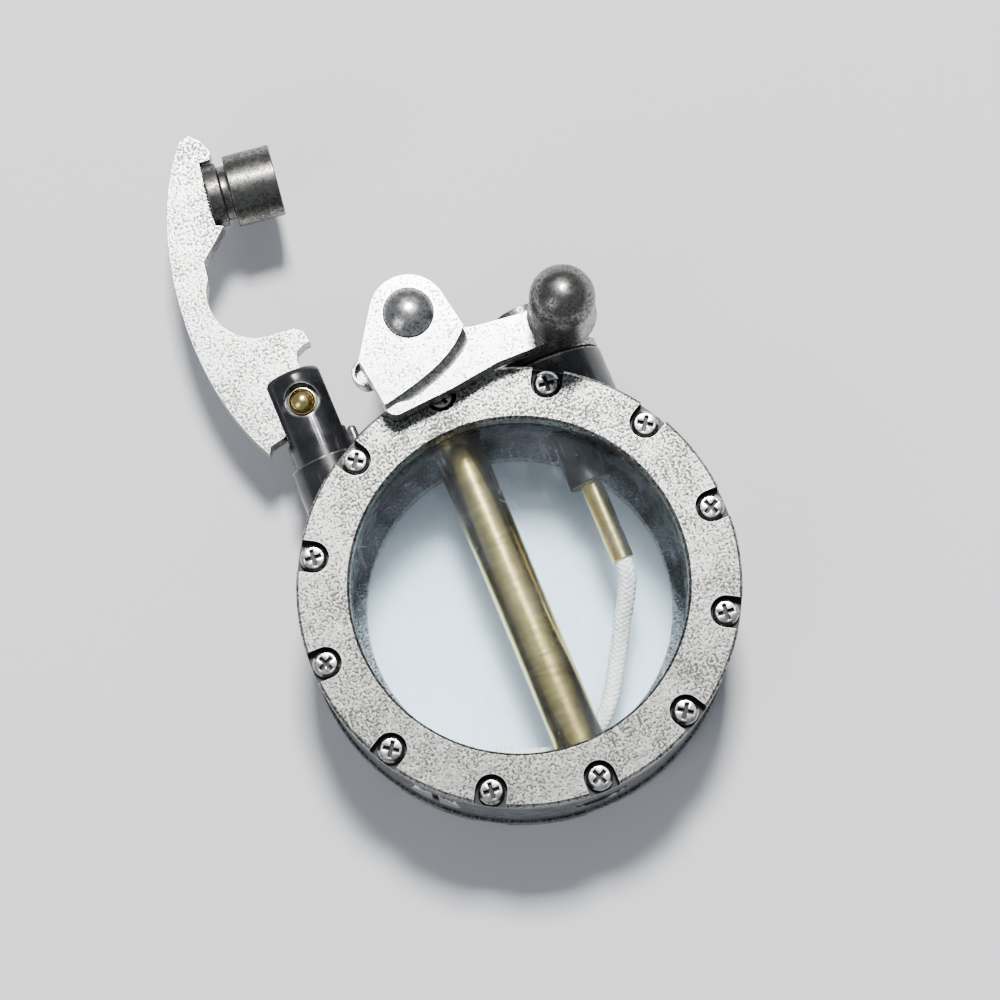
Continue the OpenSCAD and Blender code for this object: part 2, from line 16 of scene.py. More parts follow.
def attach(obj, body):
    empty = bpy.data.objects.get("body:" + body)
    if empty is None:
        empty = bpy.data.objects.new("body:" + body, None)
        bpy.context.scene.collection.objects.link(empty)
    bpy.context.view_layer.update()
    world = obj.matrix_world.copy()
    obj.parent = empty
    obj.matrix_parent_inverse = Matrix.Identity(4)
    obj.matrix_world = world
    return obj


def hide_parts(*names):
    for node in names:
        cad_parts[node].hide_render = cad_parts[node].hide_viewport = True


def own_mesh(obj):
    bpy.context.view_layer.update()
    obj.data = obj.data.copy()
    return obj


bl_info = {
    "name": "Lift-arm lighter",
    "version": (1, 0, 0),
    "blender": (4, 5, 0),
    "location": "View3D > Sidebar > Lighter",
    "description": "Builds the finished pieces of a lift-arm tank lighter on its CAD frame",
    "category": "Object",
}

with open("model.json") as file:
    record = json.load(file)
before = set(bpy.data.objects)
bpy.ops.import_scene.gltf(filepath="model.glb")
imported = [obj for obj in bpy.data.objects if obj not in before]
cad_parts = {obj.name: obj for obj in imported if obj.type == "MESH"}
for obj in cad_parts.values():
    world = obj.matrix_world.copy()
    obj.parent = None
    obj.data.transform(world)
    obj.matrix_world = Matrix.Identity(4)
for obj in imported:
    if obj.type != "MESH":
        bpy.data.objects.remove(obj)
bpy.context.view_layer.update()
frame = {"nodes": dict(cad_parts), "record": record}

MM = 0.001

# Case, axle, arm pin and ring of screws
DEPTH = 20.0
MID = DEPTH / 2
AXLE = (0.0, 32.6)
PIVOT = (-14.5, 30.5)
SCREW_CIRCLE_R = 23.33

# Screw pockets of the bezels and cross recesses of the screws, with depths under the outer face
POCKET_R = 1.95
POCKET_LIP = 0.22
POCKET_DEPTH = 1.6
POCKET_TO_RIM = 1.55
CROSS_R = 0.9
CROSS_TOP = 0.55
CROSS_BOTTOM = 1.3

# Wick: free end, and the core inside holder and ferrule
WICK_R = 1.1
WICK_CORE_R = 0.99
WICK_CORE_LOW = -0.4
WICK_CORE_LENGTH = 31.2

# Thumb lever and its spring
PLATE_TOP = 23.4
HUB_TOP = 24.45
LEVER_SPRING_LOW = 15.3
LEVER_SPRING_HIGH = 19.9
LEVER_SPRING_R = 3
LEVER_SPRING_TURNS = 4

# Outer face of the front window
FRONT_WINDOW_Z = 17.6
FRONT_WINDOW_R = 18.2


# ---- settings ----


def colour_setting(name, description, default):
    """A linear colour that the user can change."""
    return bpy.props.FloatVectorProperty(
        name=name, description=description, default=default, subtype="COLOR", size=3, min=0.0, max=1.0
    )


class LighterSettings(bpy.types.PropertyGroup):
    """Finish of the lighter"""

    bezel_colour: colour_setting("Bezel colour", "Metal of both bezels", (0.41, 0.405, 0.385))
    arm_colour: colour_setting("Arm colour", "Metal of the snuffer arm and bracket", (0.50, 0.495, 0.475))
    lever_colour: colour_setting("Lever colour", "Metal of the thumb lever", (0.68, 0.68, 0.66))
    knob_colour: colour_setting("Knob colour", "Metal of the knob and snuffer cap", (0.23, 0.222, 0.205))
    paint_colour: colour_setting("Paint colour", "Black of the body and arm post", (0.012, 0.0125, 0.014))
    brass_colour: colour_setting("Brass colour", "Clean brass of the tubes and arm pin", (0.78, 0.60, 0.23))
    wick_colour: colour_setting("Wick colour", "Clean cotton of the wick", (0.90, 0.89, 0.85))
    edge_round: bpy.props.FloatProperty(
        name="Edge rounding",
        description="Scale on the rounding of every machined edge",
        default=1.0,
        min=0.2,
        max=2.0,
    )
    wear: bpy.props.FloatProperty(
        name="Wear",
        description="Strength of scratches, rubbed edges and dirt",
        default=1.0,
        min=0.0,
        max=1.5,
        subtype="FACTOR",
    )
    braid_turns: bpy.props.IntProperty(
        name="Braid turns",
        description="Turns that each strand of the wick makes along its free end",
        default=9,
        min=3,
        max=20,
    )
    dust: bpy.props.IntProperty(
        name="Dust",
        description="Fibres and specks on the front window",
        default=60,
        min=0,
        max=300,
    )


def settings():
    """The values in the sidebar."""
    return bpy.context.scene.lighter


# ---- materials ----


class Graph:
    """Short way to write a shader. Inputs may be numbers, tuples or another node's output."""

    def __init__(self, name):
        self.material = bpy.data.materials.new(name)
        self.material.use_nodes = True
        self.tree = self.material.node_tree
        self.shader = self.tree.nodes["Principled BSDF"]
        self.output = self.tree.nodes["Material Output"]
        self.position = self.add("ShaderNodeTexCoord").outputs["Object"]

    def add(self, kind, inputs=None, **properties):
        node = self.tree.nodes.new(kind)
        for key, value in properties.items():
            setattr(node, key, value)
        for key, value in (inputs or {}).items():
            self.put(node.inputs[key], value)
        return node

    def put(self, socket, value):
        if isinstance(value, bpy.types.NodeSocket):
            self.tree.links.new(value, socket)
        else:
            socket.default_value = value

    def set(self, **values):
        """Principled inputs by name, with _ for a space."""
        for key, value in values.items():
            self.put(self.shader.inputs[key.replace("_", " ")], value)

    def noise(self, scale, detail=4.0, rough=0.55, stretch=None):
        """Fac of a noise with this many features per millimetre."""
        vector = self.position
        if stretch:
            vector = self.add("ShaderNodeMapping", {"Vector": vector, "Scale": stretch}).outputs[0]
        inputs = {
            "Vector": vector,
            "Scale": scale / MM,
            "Detail": detail,
            "Roughness": rough,
        }
        return self.add("ShaderNodeTexNoise", inputs).outputs[0]

    def ramp(self, value, low, high, start=0.0, end=1.0):
        """Maps low..high of value to start..end, clamped and smooth."""
        inputs = {"Value": value, "From Min": low, "From Max": high, "To Min": start, "To Max": end}
        node = self.add("ShaderNodeMapRange", inputs, interpolation_type="SMOOTHSTEP")
        return node.outputs[0]

    def math(self, operation, a, b=0.0):
        return self.add("ShaderNodeMath", {0: a, 1: b}, operation=operation).outputs[0]

    def mix(self, factor, a, b):
        """Mix of two colours; each may be a socket or a tuple."""
        node = self.add("ShaderNodeMix", data_type="RGBA")
        self.put(node.inputs[0], factor)
        self.put(node.inputs[6], a if isinstance(a, bpy.types.NodeSocket) else (*a, 1.0))
        self.put(node.inputs[7], b if isinstance(b, bpy.types.NodeSocket) else (*b, 1.0))
        return node.outputs[2]

    def edges(self, radius, low=0.02, high=0.25):
        """1 on edges that are rubbed, 0 on flat stretches."""
        bevel = self.add("ShaderNodeBevel", {"Radius": radius * MM}, samples=6).outputs[0]
        normal = self.add("ShaderNodeNewGeometry").outputs["Normal"]
        dot = self.add("ShaderNodeVectorMath", {0: bevel, 1: normal}, operation="DOT_PRODUCT")
        return self.ramp(self.math("SUBTRACT", 1.0, dot.outputs["Value"]), low, high)

    def scratches(self, density, width, seed=0.0):
        """Thin straight marks in many directions, 1 on a mark."""
        marks = None
        for i, turn in enumerate((0.35, 1.5, 2.4, -0.6)):
            mapping = {
                "Vector": self.position,
                "Rotation": (0.0, 0.0, turn + seed),
                "Location": (seed * 0.01 + i * 0.02, 0.0, 0.0),
                "Scale": (1.0, 0.03, 0.3),
            }
            vector = self.add("ShaderNodeMapping", mapping).outputs[0]
            cells = {"Vector": vector, "Scale": density / MM}
            voronoi = self.add("ShaderNodeTexVoronoi", cells, feature="DISTANCE_TO_EDGE")
            line = self.ramp(voronoi.outputs[0], 0.0, width, 1.0, 0.0)
            patch = self.ramp(self.noise(0.12 + 0.05 * i, 2.0), 0.56, 0.66)
            mark = self.math("MULTIPLY", line, patch)
            marks = mark if marks is None else self.math("MAXIMUM", marks, mark)
        return marks

    def bump(self, height, distance, strength=1.0):
        inputs = {"Height": height, "Distance": distance * MM, "Strength": strength}
        node = self.add("ShaderNodeBump", inputs)
        self.put(self.shader.inputs["Normal"], node.outputs[0])


def antique_metal(name, bright, dark, rough, speckle, worn_edge=0.3):
    """Metal with dark speckle in its skin, rubbed bright on its edges within worn_edge millimetres."""
    g = Graph(name)
    wear = settings().wear
    coarse = g.noise(0.22, 4.0, 0.6)
    fine = g.noise(3.3, 4.0, 0.6)
    stain = g.ramp(g.math("ADD", g.math("MULTIPLY", coarse, 0.25), g.math("MULTIPLY", fine, 0.75)),
                   0.51 - 0.13 * speckle, 0.65 - 0.13 * speckle)
    edge = g.math("MULTIPLY", g.edges(worn_edge), wear)
    stain = g.math("MULTIPLY", stain, g.math("SUBTRACT", 1.0, g.math("MULTIPLY", edge, 0.85)))
    pits = g.ramp(g.noise(5.0, 3.0, 0.6), 0.60, 0.70)
    scratch = g.math("MULTIPLY", g.scratches(0.25, 0.02, seed=len(name) * 0.3), 0.4 * wear)
    colour = g.mix(stain, bright, dark)
    lighter = tuple(min(1.0, c * 1.28 + 0.04) for c in bright)
    colour = g.mix(g.math("MAXIMUM", edge, scratch), colour, lighter)
    colour = g.mix(g.math("MULTIPLY", pits, 0.35 * speckle), colour, tuple(c * 0.35 for c in dark))
    streak = g.noise(1.2, 4.0)
    roughness = g.math("ADD", g.ramp(streak, 0.3, 0.7, rough - 0.06, rough + 0.08),
                       g.math("MULTIPLY", stain, 0.18))
    g.set(Base_Color=colour, Metallic=1.0, Roughness=roughness)
    relief = g.math("ADD", g.math("MULTIPLY", streak, 0.12), g.math("MULTIPLY", fine, 0.8))
    relief = g.math("SUBTRACT", relief, g.math("MULTIPLY", stain, 0.5))
    g.bump(relief, 0.02, 0.4)
    return g.material


def worn_paint(name, colour, metal, rough):
    """Dark finish over steel, rubbed through at the edges and along scratches."""
    g = Graph(name)
    wear = settings().wear
    breakup = g.noise(0.9, 6.0, 0.65)
    edge = g.math("MULTIPLY", g.edges(0.35, 0.015, 0.12), g.ramp(breakup, 0.36, 0.52))
    scratch = g.scratches(0.22, 0.016, seed=0.7)
    chip_place = g.ramp(g.noise(0.25, 2.0), 0.5, 0.6)
    chips = g.math("MULTIPLY", g.ramp(g.noise(1.6, 5.0, 0.7), 0.63, 0.67), chip_place)
    scratch = g.math("MAXIMUM", scratch, chips)
    bare = g.math("MULTIPLY", g.math("MAXIMUM", edge, g.math("MULTIPLY", scratch, 0.35)), wear)
    cloud = g.ramp(g.noise(0.5, 4.0), 0.35, 0.65, 0.75, 1.5)
    tint = g.mix(g.ramp(g.noise(0.3, 3.0), 0.4, 0.7), colour, tuple(c * 1.7 for c in colour))
    g.set(
        Base_Color=g.mix(bare, tint, metal),
        Metallic=g.math("ADD", g.math("MULTIPLY", bare, 0.8), 0.2),
        Roughness=g.math("MULTIPLY", cloud, rough),
        Coat_Weight=0.2,
        Coat_Roughness=0.18,
    )
    g.bump(g.math("SUBTRACT", g.noise(3.0, 4.0), g.math("MULTIPLY", bare, 0.5)), 0.01, 0.35)
    return g.material


def brass(name, clean):
    g = Graph(name)
    tarnish = g.ramp(g.noise(0.12, 5.0, 0.6), 0.42, 0.72)
    spots = g.ramp(g.noise(2.2, 4.0, 0.65), 0.64, 0.74)
    colour = g.mix(tarnish, clean, (0.48, 0.355, 0.125))
    colour = g.mix(g.math("MULTIPLY", spots, 0.5), colour, (0.20, 0.12, 0.05))
    colour = g.mix(g.edges(0.15), colour, (0.95, 0.74, 0.38))
    turned = g.noise(3.0, 2.0, 0.5, stretch=(0.15, 1.0, 0.15))
    g.set(Base_Color=colour, Metallic=1.0, Roughness=g.ramp(turned, 0.3, 0.7, 0.17, 0.25))
    g.bump(turned, 0.002, 0.15)
    return g.material


def glass(name):
    """Clear window: faint blue, hazed, with fine scratches. Light passes it without caustics."""
    g = Graph(name)
    scratch = g.scratches(0.30, 0.018, seed=1.9)
    haze = g.ramp(g.noise(0.16, 5.0, 0.6), 0.35, 0.75)
    specks = g.ramp(g.noise(3.2, 2.0, 0.5), 0.70, 0.76)
    g.set(
        Base_Color=(0.90, 0.95, 0.98, 1.0),
        Roughness=g.math("ADD", g.math("MULTIPLY", haze, 0.05), g.math("MULTIPLY", scratch, 0.10)),
        IOR=1.46,
        Transmission_Weight=1.0,
    )
    film = g.add("ShaderNodeBsdfDiffuse", {"Color": (0.60, 0.67, 0.76, 1.0)})
    amount = g.math("ADD", g.math("MULTIPLY", haze, 0.04),
                    g.math("ADD", g.math("MULTIPLY", scratch, 0.05), g.math("MULTIPLY", specks, 0.25)))
    hazed = g.add("ShaderNodeMixShader", {0: amount, 1: g.shader.outputs[0], 2: film.outputs[0]})
    through = g.add("ShaderNodeBsdfTransparent", {"Color": (0.88, 0.92, 0.94, 1.0)})
    shadow = g.add("ShaderNodeLightPath").outputs["Is Shadow Ray"]
    both = g.add("ShaderNodeMixShader", {0: shadow, 1: hazed.outputs[0], 2: through.outputs[0]})
    g.tree.links.new(both.outputs[0], g.output.inputs[0])
    return g.material


def rubber(name):
    g = Graph(name)
    g.set(Base_Color=(0.018, 0.018, 0.019, 1.0), Roughness=g.ramp(g.noise(1.5), 0.3, 0.7, 0.5, 0.75))
    g.bump(g.noise(4.0), 0.01, 0.3)
    return g.material


def cotton(name, clean):
    """Soft white yarn. The strands are modelled; this adds their fibres."""
    g = Graph(name)
    fibre = g.noise(6.0, 4.0, 0.7, stretch=(1.0, 0.35, 1.0))
    soak = g.ramp(g.noise(0.15, 3.0), 0.45, 0.75)
    colour = g.mix(soak, clean, (0.74, 0.71, 0.63))
    colour = g.mix(g.ramp(fibre, 0.5, 0.75), colour, (0.60, 0.58, 0.53))
    g.set(
        Base_Color=colour,
        Roughness=0.9,
        Sheen_Weight=0.4,
        Subsurface_Weight=0.12,
        Subsurface_Radius=(0.0006, 0.0005, 0.0004),
    )
    g.bump(fibre, 0.05, 0.7)
    return g.material


def flint_stone(name):
    g = Graph(name)
    roughness = g.ramp(g.noise(3.0), 0.3, 0.7, 0.5, 0.8)
    g.set(Base_Color=(0.09, 0.085, 0.08, 1.0), Metallic=0.4, Roughness=roughness)
    g.bump(g.noise(5.0), 0.03, 0.6)
    return g.material


def grime(name):
    """Painted shade: a near-black material put on recesses and on faces under other parts, where shade
    falls.
    """
    g = Graph(name)
    roughness = g.ramp(g.noise(2.0), 0.3, 0.7, 0.3, 0.5)
    g.set(Base_Color=(0.010, 0.0095, 0.009, 1.0), Metallic=0.3, Roughness=roughness)
    g.bump(g.noise(4.0), 0.01, 0.4)
    return g.material


def dust_white(name):
    g = Graph(name)
    g.set(Base_Color=(0.8, 0.8, 0.78, 1.0), Roughness=0.9)
    return g.material


MATERIALS = {}


def make_materials():
    """Makes every finish. A metal has its bright and stained colours, roughness, stain and rubbed edge."""
    pick = settings()
    metals = {
        "antique_silver": (tuple(pick.bezel_colour), (0.055, 0.055, 0.05), 0.26, 0.64),
        "silver": (tuple(pick.arm_colour), (0.10, 0.099, 0.093), 0.25, 0.56, 0.35),
        "lever_silver": (tuple(pick.lever_colour), (0.20, 0.20, 0.185), 0.24, 0.28),
        "dark_steel": (tuple(pick.knob_colour), (0.09, 0.087, 0.08), 0.27, 0.50),
        "steel": ((0.62, 0.61, 0.59), (0.16, 0.15, 0.14), 0.22, 0.26, 0.15),
        "spring_steel": ((0.50, 0.50, 0.51), (0.12, 0.11, 0.10), 0.25, 0.25),
        "hard_steel": ((0.28, 0.28, 0.29), (0.05, 0.045, 0.04), 0.33, 0.55, 0.12),
        # A dimmer, rougher copy of the lever's silver: painted shade in the concave fillet of the lever's
        # hub step.
        "cove": ((0.50, 0.50, 0.48), (0.16, 0.16, 0.15), 0.34, 0.6, 0.1),
    }
    for name, values in metals.items():
        MATERIALS[name] = antique_metal(name, *values)
    MATERIALS.update(
        black_paint=worn_paint("black_paint", tuple(pick.paint_colour), (0.42, 0.42, 0.41), 0.24),
        brass=brass("brass", tuple(pick.brass_colour)),
        window=glass("window"),
        rubber=rubber("rubber"),
        cotton=cotton("cotton", tuple(pick.wick_colour)),
        flint=flint_stone("flint"),
        # near-black painted shade for screw pockets, cross recesses and the wick holder
        grime=grime("grime"),
        dust=dust_white("dust"),
    )


def dress(obj, slot):
    obj.data.materials.clear()
    obj.data.materials.append(MATERIALS[slot])
    return obj


def darken(obj, inside):
    """Gives the faces whose centre, in millimetres, passes the test the black painted shade material,
    standing for shade.
    """
    obj.data.materials.append(MATERIALS["grime"])
    for face in obj.data.polygons:
        if inside(face.center / MM, face.normal):
            face.material_index = 1


# ---- geometry helpers ----


def body_of_node(node):
    for body, nodes in frame["record"]["behaviour"]["bodies"].items():
        if node in nodes:
            return body
    raise ValueError("no body holds " + node)


def slot_of_node(node):
    for part in frame["record"]["subparts"]:
        if part["node"] == node:
            return part["material_slot"]
    raise ValueError("no slot for " + node)


def new_object(name, mesh):
    obj = bpy.data.objects.new(name, mesh)
    bpy.context.collection.objects.link(obj)
    return obj


def smooth(mesh, angle=35.0):
    mesh.polygons.foreach_set("use_smooth", [True] * len(mesh.polygons))
    mesh.set_sharp_from_angle(angle=math.radians(angle))
    mesh.update()


def baked(obj):
    """Replaces the object's mesh by the result of its modifiers."""
    bpy.context.view_layer.update()
    shaped = obj.evaluated_get(bpy.context.evaluated_depsgraph_get())
    mesh = bpy.data.meshes.new_from_object(shaped)
    obj.modifiers.clear()
    obj.data = mesh
    return obj


def rounded(node, width, segments=3, angle=28.0):
    """The node's own shape with its edges rounded by width, in millimetres, standing for the node."""
    mesh = frame["nodes"][node].data.copy()
    mesh.name = node + "_finish"
    bm = bmesh.new()
    bm.from_mesh(mesh)
    bmesh.ops.remove_doubles(bm, verts=bm.verts, dist=2e-6)
    bmesh.ops.dissolve_limit(bm, angle_limit=math.radians(0.6), verts=bm.verts, edges=bm.edges)
    bm.to_mesh(mesh)
    bm.free()
    obj = new_object(node + "_finish", mesh)
    bevel = obj.modifiers.new("round", "BEVEL")
    bevel.width = width * MM * settings().edge_round
    bevel.segments = segments
    bevel.limit_method = "ANGLE"
    bevel.angle_limit = math.radians(angle)
    bevel.use_clamp_overlap = True
    bevel.miter_outer = "MITER_ARC"
    bevel.harden_normals = False
    weighted = obj.modifiers.new("normals", "WEIGHTED_NORMAL")
    weighted.keep_sharp = True
    mesh.polygons.foreach_set("use_smooth", [True] * len(mesh.polygons))
    baked(obj)
    dress(obj, slot_of_node(node))
    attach(obj, body_of_node(node))
    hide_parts(node)
    return obj


def tube_mesh(name, path, radius, sides):
    """Round wire along a path of points in metres, with a frame carried along it."""
    points = [Vector(p) for p in path]
    bm = bmesh.new()
    rings = []
    side = None
    for i, p in enumerate(points):
        t = (points[min(i + 1, len(points) - 1)] - points[max(i - 1, 0)]).normalized()
        if side is None:
            side = t.orthogonal().normalized()
        side = (side - t * side.dot(t)).normalized()
        up = t.cross(side)
        ring = []
        for k in range(sides):
            a = math.tau * k / sides
            ring.append(bm.verts.new(p + radius * (math.cos(a) * side + math.sin(a) * up)))
        rings.append(ring)
    for a, b in zip(rings, rings[1:]):
        for k in range(sides):
            bm.faces.new((a[k], a[(k + 1) % sides], b[(k + 1) % sides], b[k]))
    bm.faces.new(list(reversed(rings[0])))
    bm.faces.new(rings[-1])
    mesh = bpy.data.meshes.new(name)
    bm.to_mesh(mesh)
    bm.free()
    smooth(mesh, 60.0)
    return mesh


def catmull(points, steps):
    """Smooth path through points, in metres."""
    p = [Vector(q) for q in points]
    p = [2 * p[0] - p[1]] + p + [2 * p[-1] - p[-2]]
    out = []
    for i in range(1, len(p) - 2):
        a, b, c, d = p[i - 1 : i + 3]
        for s in range(steps):
            t = s / steps
            out.append(0.5 * ((2 * b) + (c - a) * t + (2 * a - 5 * b + 4 * c - d) * t * t
                              + (3 * b - a - 3 * c + d) * t ** 3))
    out.append(p[-2])
    return out


def mm(points):
    return [Vector(p) * MM for p in points]


# ---- pieces ----

ROUNDING = {
    "body_shell": 0.25,
    "front_bezel": 0.16,
    "rear_bezel": 0.16,
    "front_screws": 0.05,
    "rear_screws": 0.05,
    "filler_screw": 0.1,
    "flint_tube": 0.12,
    "flint": 0.08,
    "flint_plunger": 0.06,
    "flint_screw": 0.1,
    "wick_holder": 0.12,
    "wick_ferrule": 0.07,
    "arm_post": 0.12,
    "arm_pin": 0.08,
    "snuffer_arm": 0.28,
    "snuffer_cap": 0.18,
    "arm_plunger": 0.08,
    "wheel_bracket": 0.18,
    "bracket_screws": 0.07,
    "wheel_axle": 0.12,
    "axle_clip": 0.06,
    "flint_wheel": 0.04,
    "ratchet_sleeve": 0.05,
    "thumb_lever": 0.3,
    "thumb_knob": 0.2,
    "stop_pin": 0.12,
    "spring_pin": 0.08,
    "front_window": 0.15,
    "rear_window": 0.15,
}


class Piece:
    """Shared by the operators that build pieces."""

    bl_options = {"REGISTER", "UNDO"}

    def round_nodes(self, names):
        return {name: rounded(name, ROUNDING[name]) for name in names}


def to_screw(p):
    """Distance across the face from a point to the nearest bezel screw's axis."""
    turn = math.radians(30)
    a = round(math.atan2(p.y, p.x) / turn) * turn
    return math.hypot(p.x - SCREW_CIRCLE_R * math.cos(a), p.y - SCREW_CIRCLE_R * math.sin(a)), a


def below_face(p):
    """Depth of a point under the nearer outer face of the tank."""
    return min(DEPTH - p.z, p.z)


def in_pocket(p, normal):
    """True on the floor and walls of a screw pocket, below its bright lip and short of the rim; these faces
    get painted shade.
    """
    distance, a = to_screw(p)
    out = p.x * math.cos(a) + p.y * math.sin(a) - SCREW_CIRCLE_R
    across = abs(p.y * math.cos(a) - p.x * math.sin(a))
    near = distance < POCKET_R or (out > 0 and across < POCKET_R)
    return near and POCKET_LIP < below_face(p) < POCKET_DEPTH and out < POCKET_TO_RIM


def in_cross(p, normal):
    """True in the cross recess of a screw head, which gets painted shade."""
    distance, _ = to_screw(p)
    return distance < CROSS_R and CROSS_TOP < below_face(p) < CROSS_BOTTOM


class LIGHTER_OT_tank(Piece, bpy.types.Operator):
    """Builds the body, bezels, screws, windows and seals"""

    bl_idname = "lighter.tank"
    bl_label = "Tank"

    def execute(self, context):
        made = self.round_nodes(("body_shell", "front_bezel", "rear_bezel", "front_screws", "rear_screws",
                                 "filler_screw", "front_window", "rear_window"))
        # Painted shade: the floors and walls of the screw pockets and the cross recesses are made black.
        for name in ("front_bezel", "rear_bezel"):
            darken(made[name], in_pocket)
        for name in ("front_screws", "rear_screws"):
            darken(made[name], in_cross)
        for name in ("front_gasket", "rear_gasket", "filler_seal", "holder_seal"):
            dress(frame["nodes"][name], "rubber")
        return {"FINISHED"}


class LIGHTER_OT_flint(Piece, bpy.types.Operator):
    """Builds the flint tube and the parts inside it"""

    bl_idname = "lighter.flint"
    bl_label = "Flint tube"

    def execute(self, context):
        self.round_nodes(("flint_tube", "flint", "flint_plunger", "flint_screw"))
        return {"FINISHED"}


WICK_ROUTE = (
    (12.7, -0.4, 10), (12.6, -1.5, 9.9), (12.3, -2.7, 9.4), (11.7, -3.9, 8.7),
    (11, -5.1, 7.9), (10.2, -6.3, 7.1), (9.5, -7.6, 6.4), (8.8, -8.9, 5.9),
    (8, -10.2, 5.6), (7.2, -11.5, 5.5), (6.4, -12.8, 5.5), (5.5, -14.1, 5.5),
    (4.5, -15.3, 5.5), (3.3, -16.3, 5.5), (1.9, -17.1, 5.5), (0.4, -17.6, 5.5),
    (-1.2, -17.8, 5.5), (-2.8, -17.7, 5.5), (-4.4, -17.3, 5.5), (-6, -16.7, 5.5),
    (-7.5, -16, 5.5), (-9, -15.2, 5.5),
)


def braid(name, path, radius, strands, turns, sides=6):
    """Round braid: strands wind both ways and pass over and under each other."""
    points = [Vector(p) for p in path]
    length = [0.0]
    for a, b in zip(points, points[1:]):
        length.append(length[-1] + (b - a).length)
    frames = []
    side = None
    for i in range(len(points)):
        t = (points[min(i + 1, len(points) - 1)] - points[max(i - 1, 0)]).normalized()
        side = t.orthogonal().normalized() if side is None else (side - t * side.dot(t)).normalized()
        frames.append((side.copy(), t.cross(side)))
    strand_r = radius * 0.30
    lay_r = radius - strand_r * 1.25
    bm = bmesh.new()
    for hand in (1, -1):
        for s in range(strands):
            route = []
            for i, p in enumerate(points):
                a = hand * math.tau * turns * length[i] / length[-1] + math.tau * s / strands
                wave = math.cos(strands * (a if hand > 0 else -a) + (0 if hand > 0 else math.pi))
                r = lay_r + strand_r * 0.25 * wave
                u, v = frames[i]
                route.append(p + r * (math.cos(a) * u + math.sin(a) * v))
            part = tube_mesh("strand", route, strand_r, sides)
            bm.from_mesh(part)
            bpy.data.meshes.remove(part)
    mesh = bpy.data.meshes.new(name)
    bm.to_mesh(mesh)
    bm.free()
    smooth(mesh, 70.0)
    return mesh


def in_shade(p, normal):
    """True on the wick holder below its flange, and on the flange but for its outer corner: the faces that
    get painted shade.
    """
    return p.y < 23.7 or (p.y < 25.2 and p.x < 16)


class LIGHTER_OT_wick(Piece, bpy.types.Operator):
    """Builds the wick holder, ferrule and braided cotton wick"""

    bl_idname = "lighter.wick"
    bl_label = "Wick"

    def execute(self, context):
        made = self.round_nodes(("wick_holder", "wick_ferrule"))
        # Painted shade on the wick holder under its flange.
        darken(made["wick_holder"], in_shade)
        path = catmull(mm(WICK_ROUTE), 10)
        mesh = braid("wick_tail_braid", path, WICK_R * MM, 6, settings().braid_turns)
        tail = dress(new_object("wick_tail_braid", mesh), "cotton")
        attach(tail, "case")
        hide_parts("wick_tail")
        core = mm([(12.7, WICK_CORE_LOW + WICK_CORE_LENGTH * i / 60, MID) for i in range(61)])
        mesh = braid("wick_core_braid", core, WICK_CORE_R * MM, 6, 12)
        stem = dress(new_object("wick_core_braid", mesh), "cotton")
        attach(stem, "case")
        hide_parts("wick_core")
        return {"FINISHED"}


class LIGHTER_OT_arm(Piece, bpy.types.Operator):
    """Builds the snuffer arm, its cap, post and pin"""

    bl_idname = "lighter.arm"
    bl_label = "Snuffer arm"

    def execute(self, context):
        self.round_nodes(("snuffer_arm", "snuffer_cap", "arm_post", "arm_pin", "arm_plunger"))
        return {"FINISHED"}


def cove_mesh():
    """Hollow fillet along the curved step between the lever's raised hub and its plate."""
    edge = [Vector(p) for p in ((-6.3, 23.85), (-0.5, 25.0), (3.0, 26.2), (5.12, 28.85))]
    bm = bmesh.new()
    rows = []
    for i in range(41):
        t = i / 40
        s = 1 - t
        p = s ** 3 * edge[0] + 3 * s * s * t * edge[1] + 3 * s * t * t * edge[2] + t ** 3 * edge[3]
        along = (3 * s * s * (edge[1] - edge[0]) + 6 * s * t * (edge[2] - edge[1])
                 + 3 * t * t * (edge[3] - edge[2]))
        out = Vector((along.y, -along.x)).normalized()
        reach = 1.05 * min(1.0, 6 * t, 9 * s) + 0.02
        row = []
        for k in range(9):
            a = math.radians(90) * k / 8
            q = p + out * (reach * (1 - math.cos(a)) - 0.03)
            z = PLATE_TOP + (HUB_TOP - PLATE_TOP) * (1 - math.sin(a)) + 0.015
            row.append(bm.verts.new((q.x * MM, q.y * MM, z * MM)))
        rows.append(row)
    for a, b in zip(rows, rows[1:]):
        for k in range(8):
            bm.faces.new((a[k], a[k + 1], b[k + 1], b[k]))
    bmesh.ops.recalc_face_normals(bm, faces=bm.faces)
    mesh = bpy.data.meshes.new("hub_cove")
    bm.to_mesh(mesh)
    bm.free()
    smooth(mesh, 60.0)
    return mesh


class LIGHTER_OT_striker(Piece, bpy.types.Operator):
    """Builds the bracket, axle, wheel, thumb lever and small pins"""

    bl_idname = "lighter.striker"
    bl_label = "Striker"

    def execute(self, context):
        self.round_nodes(("wheel_bracket", "bracket_screws", "wheel_axle", "axle_clip", "flint_wheel",
                          "ratchet_sleeve", "thumb_lever", "thumb_knob", "stop_pin", "spring_pin"))
        # The fillet wears the dimmer copy of the lever's metal, painted shade in the hollow.
        cove = dress(new_object("hub_cove", cove_mesh()), "cove")
        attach(cove, "lever")
        return {"FINISHED"}


def coil_y(x, radius, foot, length, turns):
    """Helix along Y, 24 points to a turn, in millimetres."""
    angles = [math.tau * i / 24 for i in range(turns * 24 + 1)]
    return [(x + radius * math.cos(a), foot + length * a / math.tau / turns, MID + radius * math.sin(a))
            for a in angles]


